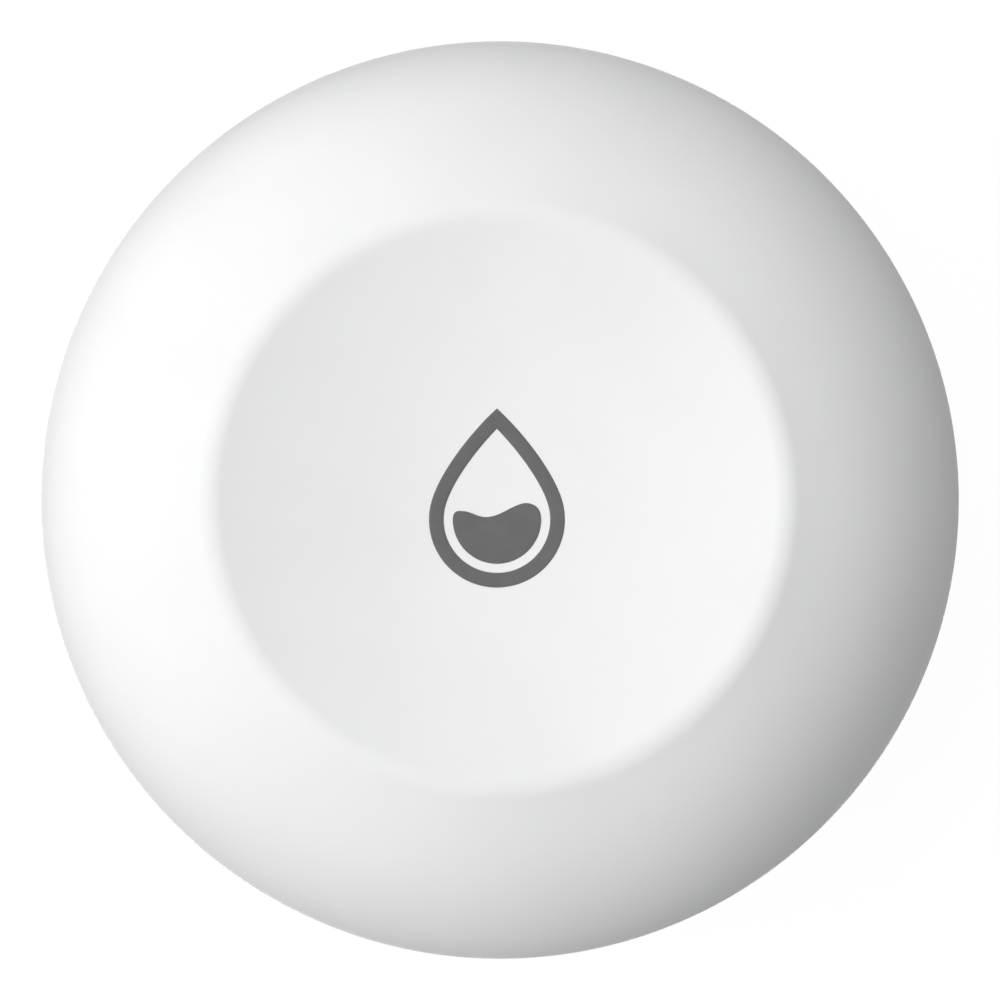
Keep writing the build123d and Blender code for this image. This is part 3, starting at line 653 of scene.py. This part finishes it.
@dataclass
class PressTop:
    """The dished top that a hand presses, with its post, ribs and snap hooks inside.

    Its dish ends 0.22 mm further in than the CAD's, over a rounder crest, as the photograph shows.
    """

    radius: float = 25.0
    height: float = 15.0
    dish_edge: float = 15.04
    dish_sphere: float = 65.0
    inner_crest: float = 0.75
    wall: float = 1.4
    slope: float = 22.0
    shoulder_share: float = 0.35
    side_share: float = 0.70
    equator: float = 4.8
    lower_edge: float = 3.2
    edge_round: float = 0.25
    post_radius: float = 2.2
    post_bottom: float = 9.43
    post_round: float = 0.3
    rib_reach: float = 6.5
    rib_width: float = 1.0
    rib_bottom: float = 10.62
    hook_inner: float = 20.15
    hook_outer: float = 21.25
    hook_barb: float = 22.15
    hook_tip: float = 5.5
    hook_lead: float = 5.95
    hook_catch: float = 6.25
    hook_width: float = 4.0
    mould_round: float = 0.08
    segments: int = 360
    post_segments: int = 72
    outer_points: tuple[int, int, int] = (40, 22, 72)
    inner_points: tuple[int, int, int] = (22, 10, 30)
    middle_points: tuple[int, int, int] = (60, 20, 60)

    def dish_angle(self) -> float:
        """Slope of the dish at its edge, in degrees."""
        return np.degrees(asin(self.dish_edge / self.dish_sphere))

    def crest_centre(self) -> Pair:
        """Radius and height of the centre of the crest's round."""
        crest = self.inner_crest + self.wall
        return self.dish_edge + crest * sin(radians(self.dish_angle())), self.height - crest

    def dish_centre(self) -> float:
        """Height of the centre of the dish's sphere."""
        reach = self.inner_crest + self.wall + self.dish_sphere
        return self.crest_centre()[1] + reach * cos(radians(self.dish_angle()))

    def dish_height(self, radius: Array | float, depth: float = 0.0) -> Array | float:
        """Height of the dish at a radius and a depth: its sphere's centre less the sphere's drop."""
        return self.dish_centre() - np.sqrt((self.dish_sphere + depth) ** 2 - radius**2)

    def skin(self, depth: float, counts: tuple[int, int, int]) -> Array:
        """Section of the shell's surface at a depth, from the axis to the straight lower side.

        It is the dish's arc, the crest's arc and a cubic curve that leaves the crest at the
        shoulder's slope and meets the side upright.

        Args:
            depth: Depth under the outer face.
            counts: Number of points on the dish, the crest and the side.

        Returns:
            Array of radius and height.
        """
        angle = self.dish_angle()
        centre = self.crest_centre()
        round_radius = self.inner_crest + self.wall - depth
        dish = arc((0.0, self.dish_centre()), -(self.dish_sphere + depth), 0.0, -angle, counts[0])
        crest = arc(centre, round_radius, -angle, self.slope, counts[1])
        start = crest[-1]
        end = np.array([self.radius - depth, self.equator])
        reach = self.shoulder_share * (end[0] - start[0])
        slope = radians(self.slope)
        first = start + reach * np.array([cos(slope), -sin(slope)])
        second = end + np.array([0.0, self.side_share * (start[1] - end[1])])
        side = cubic((start, first, second, end), counts[2])
        return np.vstack([dish, crest[1:], side[1:]])

    def shell_section(self) -> Array:
        """Whole section of the wall: outer face, rounded lower edge and inner face back to the axis.

        Returns:
            Array of radius and height.
        """
        outer = self.skin(0.0, self.outer_points)
        inner = self.skin(self.wall, self.inner_points)[::-1]
        low = self.lower_edge + self.edge_round
        out_round = arc((self.radius - self.edge_round, low), self.edge_round, 90.0, 180.0, 9)
        in_round = arc((self.radius - self.wall + self.edge_round, low), self.edge_round, 180.0, 270.0, 7)
        return np.vstack([outer, out_round, in_round, inner])

    def build_shell(self) -> None:
        """The wall of the top as one turned surface, shut at both poles."""
        surface = Surface()
        surface.add_turned(self.shell_section(), self.segments)
        piece = surface.piece("press_top_wall", 40.0)
        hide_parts("top_shell")
        fit(piece, SHELL_ABS, Body.SHELL)

    def hook_outline(self) -> Array:
        """Arm and barb of one hook, up to the middle of the wall.

        Returns:
            Array of radius and height.
        """
        top = np.linspace(self.hook_outer, self.hook_inner, 6)
        middle = self.skin(self.wall / 2, self.middle_points)
        roof = np.stack([top, np.interp(top, *middle.T)], axis=-1)
        across = (self.hook_inner, self.hook_outer, self.hook_barb, self.hook_barb, self.hook_outer)
        level = (self.hook_tip, self.hook_tip, self.hook_lead, self.hook_catch, self.hook_catch)
        arm = np.stack([across, level], axis=-1)
        return np.vstack([arm, roof])

    def rib_outline(self) -> Array:
        """One rib from the post outwards, up to the middle of the wall.

        Returns:
            Array of radius and height.
        """
        top = np.linspace(self.rib_reach, 0.0, 12)
        roof = np.stack([top, self.dish_height(top, self.wall / 2)], axis=-1)
        return np.vstack([[(0.0, self.rib_bottom), (self.rib_reach, self.rib_bottom)], roof])

    def build_inside(self) -> None:
        """Press post, four ribs and three hooks, rounded where the mould is."""
        surface = Surface()
        low = self.post_bottom + self.post_round
        roof = self.dish_height(0.0, self.wall / 2)
        corner = arc((self.post_radius - self.post_round, low), self.post_round, 90.0, 180.0, 8)
        post = np.vstack([[(0.0, roof), (self.post_radius, roof)], corner, [(0.0, self.post_bottom)]])
        surface.add_turned(post, self.post_segments)
        for angle in range(0, 360, 90):
            surface.add(*slab(self.rib_outline(), self.rib_width, angle))
        for angle in range(30, 360, 120):
            surface.add(*slab(self.hook_outline(), self.hook_width, angle))
        piece = surface.piece("press_post_and_hooks", 30.0)
        soften(piece, "mould_rounding", self.mould_round, 40.0)
        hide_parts("top_shell")
        fit(piece, SHELL_ABS, Body.SHELL)


@dataclass
class WaterSign:
    """The printed drop in the dish: an outline of even width and water with a wave inside it."""

    top: PressTop
    centre: Pair = (-0.076, -1.122)
    bulb_radius: float = 3.69
    tip_height: float = 6.04
    join_angle: float = 16.8
    join_handle: float = 1.76
    tip_handle: float = 1.68
    tip_half_angle: float = 47.9
    stroke: float = 0.80
    water_radius: float = 2.4
    left_crest: Pair = (-1.90, 0.47)
    trough: Pair = (-0.61, 0.14)
    right_crest: Pair = (1.77, 0.93)
    softness: Pair = (0.78, 1.17)
    ink_height: float = 0.02
    ink_root: float = 0.03
    curve_points: int = 90
    band_points: int = 160

    def half_outline(self) -> Array:
        """Right half of the drop, from its lowest point round the bulb and up to the tip.

        The bulb is a circle and the side a cubic curve that leaves it smoothly and reaches the tip
        at the tip's half angle.

        Returns:
            Array of the drawing's X and Y.
        """
        join = radians(self.join_angle)
        turn = np.linspace(-pi / 2, join, self.curve_points)
        bulb = self.bulb_radius * np.stack([np.cos(turn), np.sin(turn)], axis=-1)
        tip = np.array([0.0, self.tip_height])
        half = radians(self.tip_half_angle)
        first = bulb[-1] + self.join_handle * np.array([-sin(join), cos(join)])
        second = tip + self.tip_handle * np.array([sin(half), -cos(half)])
        side = cubic((bulb[-1], first, second, tip), self.curve_points)
        return np.vstack([bulb, side[1:]])

    def inner_half(self, outer: Array) -> Array:
        """The half outline moved inwards by the stroke, cut off at the axis.

        Args:
            outer: The outer half outline.

        Returns:
            Array of points from the bottom to the inner tip.
        """
        along = np.gradient(outer, axis=0)
        along /= np.linalg.norm(along, axis=1)[:, None]
        moved = outer + self.stroke * np.stack([-along[:, 1], along[:, 0]], axis=-1)
        moved[0] = (0.0, self.stroke - self.bulb_radius)
        kept = moved[moved[:, 0] >= 0]
        beyond = moved[len(kept)]
        share = kept[-1, 0] / (kept[-1, 0] - beyond[0])
        return np.vstack([kept, kept[-1] + share * (beyond - kept[-1])])

    def on_dish(self, flat: Array, lift: Array) -> Array:
        """Points of the drawing laid on the dish, each lifted over it by its own height."""
        x, y = np.moveaxis(flat + np.array(self.centre), -1, 0)
        return np.stack([x, y, self.top.dish_height(np.hypot(x, y)) + lift], axis=-1)

    def band(self, inner: Array, outer: Array) -> Array:
        """A thin closed band of ink between two curves, with rounded upper edges.

        Args:
            inner: Points of one curve.
            outer: As many points of the other.

        Returns:
            Array of closed sections, one for each pair of points.
        """
        across = np.array([0.0, 0.0, 0.03, 0.25, 0.5, 0.75, 0.97, 1.0, 1.0, 0.75, 0.5, 0.25])
        level = np.array([-1.0, 0.5, 1.0, 1.0, 1.0, 1.0, 1.0, 0.5, -1.0, -1.0, -1.0, -1.0])
        lift = np.where(level > 0, level * self.ink_height, -self.ink_root)
        flat = inner[:, None] + across[None, :, None] * (outer - inner)[:, None]
        return self.on_dish(flat, np.broadcast_to(lift, flat.shape[:2]))

    def outline_band(self) -> Array:
        """The drop's outline as a band that closes on itself.

        Returns:
            Array of closed sections along the outline.
        """
        outer = self.half_outline()
        halves = [resampled(half, self.band_points) for half in (self.inner_half(outer), outer)]
        return self.band(*(np.vstack([half, half[-2:0:-1] * (-1, 1)]) for half in halves))

    def water_band(self) -> Array:
        """The water: between the lower side of a circle and a wave that runs in half cosines.

        The wave goes from crest to trough to crest, and a smooth minimum with the circle rounds
        both ends.

        Returns:
            Array of closed sections across the water.
        """
        x = self.water_radius * np.sin(np.linspace(-pi / 2, pi / 2, self.curve_points))
        low = -np.sqrt(np.maximum(self.water_radius**2 - x**2, 0.0))
        wave = np.full_like(x, self.left_crest[1])
        for start, end in ((self.left_crest, self.trough), (self.trough, self.right_crest)):
            share = np.clip((x - start[0]) / (end[0] - start[0]), 0, 1)
            wave += (end[1] - start[1]) * (1 - np.cos(pi * share)) / 2
        softness = np.where(x < 0, *self.softness)
        near = np.maximum(softness - np.abs(wave + low), 0) / softness
        high = np.minimum(wave, -low) - near**2 * softness / 4
        high = np.maximum(high, low)
        return self.band(np.stack([x, low], axis=-1), np.stack([x, high], axis=-1))

    def build(self) -> None:
        """Outline and water as one printed piece on the dish."""
        surface = Surface()
        outline = self.outline_band()[:, ::-1]
        surface.add(outline.reshape(-1, 3), grid_faces(*outline.shape[:2]).tolist())
        water = self.water_band()
        water[0] = water[0].mean(axis=0)
        water[-1] = water[-1].mean(axis=0)
        surface.add_capped(water[:, ::-1])
        fit(surface.piece("water_sign", 50.0), PRINT_INK, Body.SHELL)


@dataclass
class BatteryCloser:
    """The cover's turning arrow, raised on its underside."""

    radius: float = 9.4
    width: float = 0.8
    start: float = 308.0
    end: float = 240.0
    head_angle: float = 11.0
    head_width: float = 2.3
    underside: float = 0.5
    raised: float = 0.18
    root: float = 0.1
    shoulder_angle: float = 0.01
    shaft_points: int = 60
    head_points: int = 16

    def build(self) -> None:
        """A curved bar whose width shrinks to nothing over the arrow's head.

        The bar follows the circle from its start to its end. Its half width is even along the
        shaft, jumps to the head's and falls to nothing at the tip.
        """
        neck = self.end + self.head_angle
        shaft = np.linspace(self.start, neck, self.shaft_points)
        head = np.linspace(neck, self.end, self.head_points)
        angle = np.radians(np.concatenate([shaft, [neck - self.shoulder_angle], head[1:]]))
        taper = np.linspace(self.head_width, 0.0, self.head_points)
        width = np.concatenate([np.full(self.shaft_points, self.width), taper]) / 2
        across = np.array([-1.0, -1.0, -0.85, 0.0, 0.85, 1.0, 1.0, 0.0])
        level = np.array([0.0, 0.7, 1.0, 1.0, 1.0, 0.7, 0.0, 0.0])
        height = self.underside - np.where(level > 0, level * self.raised, -self.root)
        radius = self.radius + width[:, None] * across
        flat = spun(radius, 0.0, angle[:, None])
        grid = np.stack([*flat, np.broadcast_to(height, radius.shape)], axis=-1)
        grid = np.concatenate([grid[:1].mean(axis=1, keepdims=True).repeat(8, axis=1), grid], axis=0)
        grid[-1] = grid[-1].mean(axis=0)
        surface = Surface()
        surface.add_capped(grid)
        fit(surface.piece("turn_arrow", 35.0), BASE_ABS, Body.COVER)


@dataclass
class SwitchDome:
    """Thin snap dome that flattens under the plunger."""

    rim_radius: float = 1.9
    bottom: float = 7.601
    rise: float = 0.5
    thickness: float = 0.08
    pressed_share: float = 0.72
    arc_points: int = 24
    segments: int = 96

    def build(self) -> None:
        """A spherical cap of even thickness, turned about Z."""
        sphere = (self.rim_radius**2 + self.rise**2) / (2 * self.rise)
        centre = self.bottom + self.rise - sphere
        edge = np.degrees(asin(self.rim_radius / sphere))
        outer = arc((0.0, centre), sphere, 0.0, edge, self.arc_points)
        level = (outer[-1, 1] - centre) / (sphere - self.thickness)
        inner_edge = np.degrees(np.arccos(level))
        inner = arc((0.0, centre), sphere - self.thickness, inner_edge, 0.0, self.arc_points)
        surface = Surface()
        surface.add_turned(np.vstack([outer, inner]), self.segments)
        piece = surface.piece("snap_dome", 40.0)
        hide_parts("switch_dome")
        fit(piece, SWITCH_STAINLESS, Body.BASE)
        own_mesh(piece)


@dataclass
class BoardLands:
    """Tinned ends of the small chips and lands round the radio chip."""

    board_radius: float = 21.15
    board_top: float = 7.3
    passive_length: float = 1.0
    passive_width: float = 0.5
    passive_height: float = 0.35
    cap_length: float = 0.2
    proud: float = 0.012
    land_length: float = 0.3
    land_width: float = 0.26
    land_height: float = 0.05
    land_pitch: float = 0.62
    land_reach: float = 0.09
    side_lands: int = 7
    melt_round: float = 0.02
    chip_half: float = 2.5
    chip_place: Pair = (-0.42, 0.38)
    passive_places: tuple[tuple[float, float, float], ...] = (
        (-0.42, 0.60, 0.0), (-0.54, 0.58, 0.0), (-0.30, 0.60, 0.0), (-0.22, 0.36, 90.0),
        (-0.22, 0.46, 90.0), (-0.63, 0.30, 90.0), (-0.66, -0.04, 0.0), (-0.66, 0.24, 0.0),
        (0.20, 0.30, 0.0), (0.34, 0.22, 0.0), (0.62, 0.20, 90.0), (0.58, -0.22, 0.0),
        (0.22, -0.30, 90.0), (-0.22, -0.34, 0.0), (-0.36, -0.38, 90.0), (-0.62, -0.24, 0.0),
    )

    def boxes(self, centres: Array, sizes: Array, turns: Array) -> Surface:
        """Many small blocks at once: eight corners scaled, turned about Z and moved.

        Args:
            centres: Middle of each block's underside.
            sizes: Length, width and height of each block.
            turns: Turn of each block about Z, in degrees.

        Returns:
            Surface of all blocks.
        """
        unit = np.array([(x, y, z) for z in (0, 1) for y in (-0.5, 0.5) for x in (-0.5, 0.5)])
        corners = unit[None] * sizes[:, None]
        flat = spun(corners[..., 0], corners[..., 1], np.radians(turns)[:, None])
        points = np.stack([*flat, corners[..., 2]], axis=-1) + centres[:, None]
        block = [(0, 2, 3, 1), (4, 5, 7, 6), (0, 1, 5, 4), (2, 6, 7, 3), (0, 4, 6, 2), (1, 3, 7, 5)]
        faces = np.array(block)[None] + 8 * np.arange(len(centres))[:, None, None]
        surface = Surface()
        surface.add(points.reshape(-1, 3), faces.reshape(-1, 4).tolist())
        return surface

    def chip_ends(self) -> tuple[Array, Array, Array]:
        """Tinned caps on the ends of the small chips.

        Returns:
            Place, size and turn of each.
        """
        places = np.array(self.passive_places)
        reach = (self.passive_length - self.cap_length) / 2 + self.proud
        step = np.column_stack(spun(reach, 0.0, np.radians(places[:, 2])))
        middle = places[:, :2] * self.board_radius
        flat = np.vstack([middle + step, middle - step])
        centres = np.column_stack([flat, np.full(len(flat), self.board_top)])
        size = (self.cap_length, self.passive_width + self.proud * 2, self.passive_height + self.proud)
        return centres, np.tile(size, (len(flat), 1)), np.tile(places[:, 2], 2)

    def chip_lands(self) -> tuple[Array, Array, Array]:
        """Lands along the four sides of the radio chip.

        Returns:
            Place, size and turn of each.
        """
        count = 4 * self.side_lands
        along = (np.arange(self.side_lands) - self.side_lands // 2) * self.land_pitch
        turn = np.repeat(np.arange(4), self.side_lands) * pi / 2
        reach = self.chip_half + self.land_reach
        flat = np.column_stack(spun(reach, np.tile(along, 4), turn))
        flat += np.multiply(self.chip_place, self.board_radius)
        centres = np.column_stack([flat, np.full(count, self.board_top)])
        sizes = np.tile((self.land_length, self.land_width, self.land_height), (count, 1))
        return centres, sizes, np.degrees(turn)

    def build(self) -> None:
        """All tinned ends and lands as one piece with softened edges."""
        surface = self.boxes(*map(np.concatenate, zip(self.chip_ends(), self.chip_lands())))
        piece = surface.piece("tinned_lands", 30.0)
        soften(piece, "melted_edges", self.melt_round, 30.0)
        fit(piece, TIN, Body.BASE)


@dataclass
class Housing:
    """CAD nodes that keep their shape and get their finish."""

    finishes: tuple[tuple[Finish, tuple[str, ...]], ...] = (
        (BASE_ABS, ("base_housing", "battery_cover")),
        (SILICONE, ("shell_seal", "cover_seal", "probe_seals")),
        (BOARD, ("circuit_board",)),
        (SCREW_ZINC, ("board_screws",)),
        (PROBE_STEEL["right"], ("probe_right",)),
        (PROBE_STEEL["left"], ("probe_left",)),
        (CONTACT_BRONZE, ("probe_contacts", "negative_contact", "positive_contact")),
        (CELL_STEEL, ("coin_cell_can",)),
        (CELL_CAP_STEEL, ("coin_cell_cap",)),
        (CELL_NYLON, ("coin_cell_seal",)),
        (SWITCH_PLASTIC, ("switch_base", "switch_plunger")),
        (SWITCH_STAINLESS, ("switch_cover", "switch_dome")),
        (CHIP_EPOXY, ("radio_chip",)),
        (CRYSTAL_LID, ("crystal",)),
        (CAPACITOR_RESIN, ("bulk_capacitor",)),
        (LED_RESIN, ("status_led",)),
        (PASSIVE_CERAMIC, ("chip_passives",)),
        (SHELL_ABS, ("top_shell",)),
    )

    def build(self) -> None:
        """Dresses every node."""
        for finish, names in self.finishes:
            for name in names:
                dress(name, finish)


# Studio.


@dataclass(frozen=True)
class SoftLamp:
    """A square soft box that looks at the sensor."""

    name: str
    azimuth: float
    elevation: float
    power: float
    size: float = 0.45
    distance: float = 0.7

    def place(self, target: Vector) -> None:
        """Puts the lamp at its distance and turns it to the target.

        Args:
            target: Point that it looks at.
        """
        data = bpy.data.lights.new(self.name, "AREA")
        data.shape = "SQUARE"
        data.size = self.size
        data.energy = self.power
        lamp = bpy.data.objects.new(self.name, data)
        turn, lift = radians(self.azimuth), radians(self.elevation)
        away = Vector((cos(lift) * cos(turn), cos(lift) * sin(turn), sin(lift)))
        lamp.location = target + away * self.distance
        lamp.rotation_euler = away.to_track_quat("Z", "Y").to_euler()
        bpy.context.scene.collection.objects.link(lamp)


@dataclass
class Studio:
    """Pale floor, white surroundings, soft lamps and the camera straight overhead."""

    lamps: tuple[SoftLamp, ...] = (
        SoftLamp("lamp_left", 158.4, 38.0, 0.90),
        SoftLamp("lamp_top", 90.7, 89.0, 0.99),
        SoftLamp("lamp_front_left", 205.2, 32.0, 2.18),
        SoftLamp("lamp_back", 109.5, 36.0, 1.47),
        SoftLamp("lamp_under_table", 200.0, -87.0, 2.9, 0.25),
    )
    world_colour: str = "#F4F5F6"
    world_strength: float = 0.355
    floor_size: float = 8.0
    floor_colour: str = "#F2F2F2"
    paper_share: float = 0.90
    paper_strength: float = 1.04
    lens: float = 1500.0
    sensor_width: float = 36.0
    clip_end: float = 100.0
    frame_width: float = 0.05449
    tilt: Pair = (0.38, 0.61)
    aim: tuple[float, float, float] = (0.0, 0.0, 0.0048)

    def seen(self, nodes: Nodes) -> NodeSocket:
        """1 for rays from the camera and for mirrored and refracted ones, and 0 for lighting.

        Args:
            nodes: Nodes of the world or the floor.

        Returns:
            Share socket.
        """
        path = nodes.add("LightPath", {}).outputs
        either = nodes.compute("MAXIMUM", path["Is Camera Ray"], path["Is Glossy Ray"])
        return nodes.compute("MAXIMUM", either, path["Is Transmission Ray"])

    def build_world(self) -> None:
        """Soft grey light from all round, behind a background that is seen as white."""
        world = bpy.data.worlds.new("white_surroundings")
        nodes = Nodes(world)
        soft = {"Color": linear(self.world_colour), "Strength": self.world_strength}
        light = nodes.add("Background", soft).outputs[0]
        paper = nodes.add("Background", {"Color": WHITE, "Strength": 1.0}).outputs[0]
        nodes.add("OutputWorld", {"Surface": nodes.blend(self.seen(nodes), light, paper)})
        bpy.context.scene.world = world

    def build_floor(self) -> None:
        """A pale light table that only shows from above, where it takes the sensor's shadow.

        It is clear from below and to every ray that lights the sensor, so the lamp under it reaches
        the underside and the piece that hangs below it.
        """
        half = self.floor_size / 2 / MM
        surface = Surface()
        surface.add(half * np.array([(-1, -1, 0), (1, -1, 0), (1, 1, 0), (-1, 1, 0)]), [[0, 1, 2, 3]])
        floor = surface.piece("pale_floor", 30.0)
        made = bpy.data.materials.new("white_paper")
        nodes = Nodes(made)
        seen = self.seen(nodes)
        lit = nodes.add("BsdfDiffuse", {"Color": linear(self.floor_colour)}).outputs[0]
        paper = nodes.add("Emission", {"Color": WHITE, "Strength": self.paper_strength}).outputs[0]
        shown = nodes.blend(nodes.compute("MULTIPLY", seen, self.paper_share), lit, paper)
        clear = nodes.add("BsdfTransparent", {}).outputs[0]
        under = nodes.add("NewGeometry", {}).outputs["Backfacing"]
        through = nodes.compute("MAXIMUM", under, nodes.compute("SUBTRACT", 1.0, seen))
        nodes.add("OutputMaterial", {"Surface": nodes.blend(through, shown, clear)})
        floor.data.materials.append(made)

    def build_camera(self) -> None:
        """A long lens overhead, tipped by under a degree, with +Y towards the picture's top.

        The tilt is a turn about X and then about Y, which keeps the camera from rolling.
        """
        data = bpy.data.cameras.new("overhead_camera")
        data.lens = self.lens
        data.sensor_width = self.sensor_width
        data.clip_end = self.clip_end
        camera = bpy.data.objects.new("overhead_camera", data)
        distance = self.frame_width * self.lens / self.sensor_width
        about_x, about_y = (radians(angle) for angle in self.tilt)
        away = Vector((sin(about_y) * cos(about_x), -sin(about_x), cos(about_y) * cos(about_x)))
        camera.location = Vector(self.aim) + away * distance
        camera.rotation_euler = (about_x, about_y, 0.0)
        bpy.context.scene.collection.objects.link(camera)
        bpy.context.scene.camera = camera

    def build(self) -> None:
        """Sets the whole studio up."""
        self.build_world()
        self.build_floor()
        self.build_camera()
        for lamp in self.lamps:
            lamp.place(Vector(self.aim))
        bpy.context.scene.view_settings.view_transform = "Standard"
        log.info("studio with %d lamps", len(self.lamps))


def main() -> None:
    """Builds the sensor's pieces in order, and then the studio round them."""
    Housing().build()
    top = PressTop()
    top.build_shell()
    top.build_inside()
    WaterSign(top).build()
    BatteryCloser().build()
    SwitchDome().build()
    BoardLands().build()
    Studio().build()


if __name__ == "__main__":
    main()
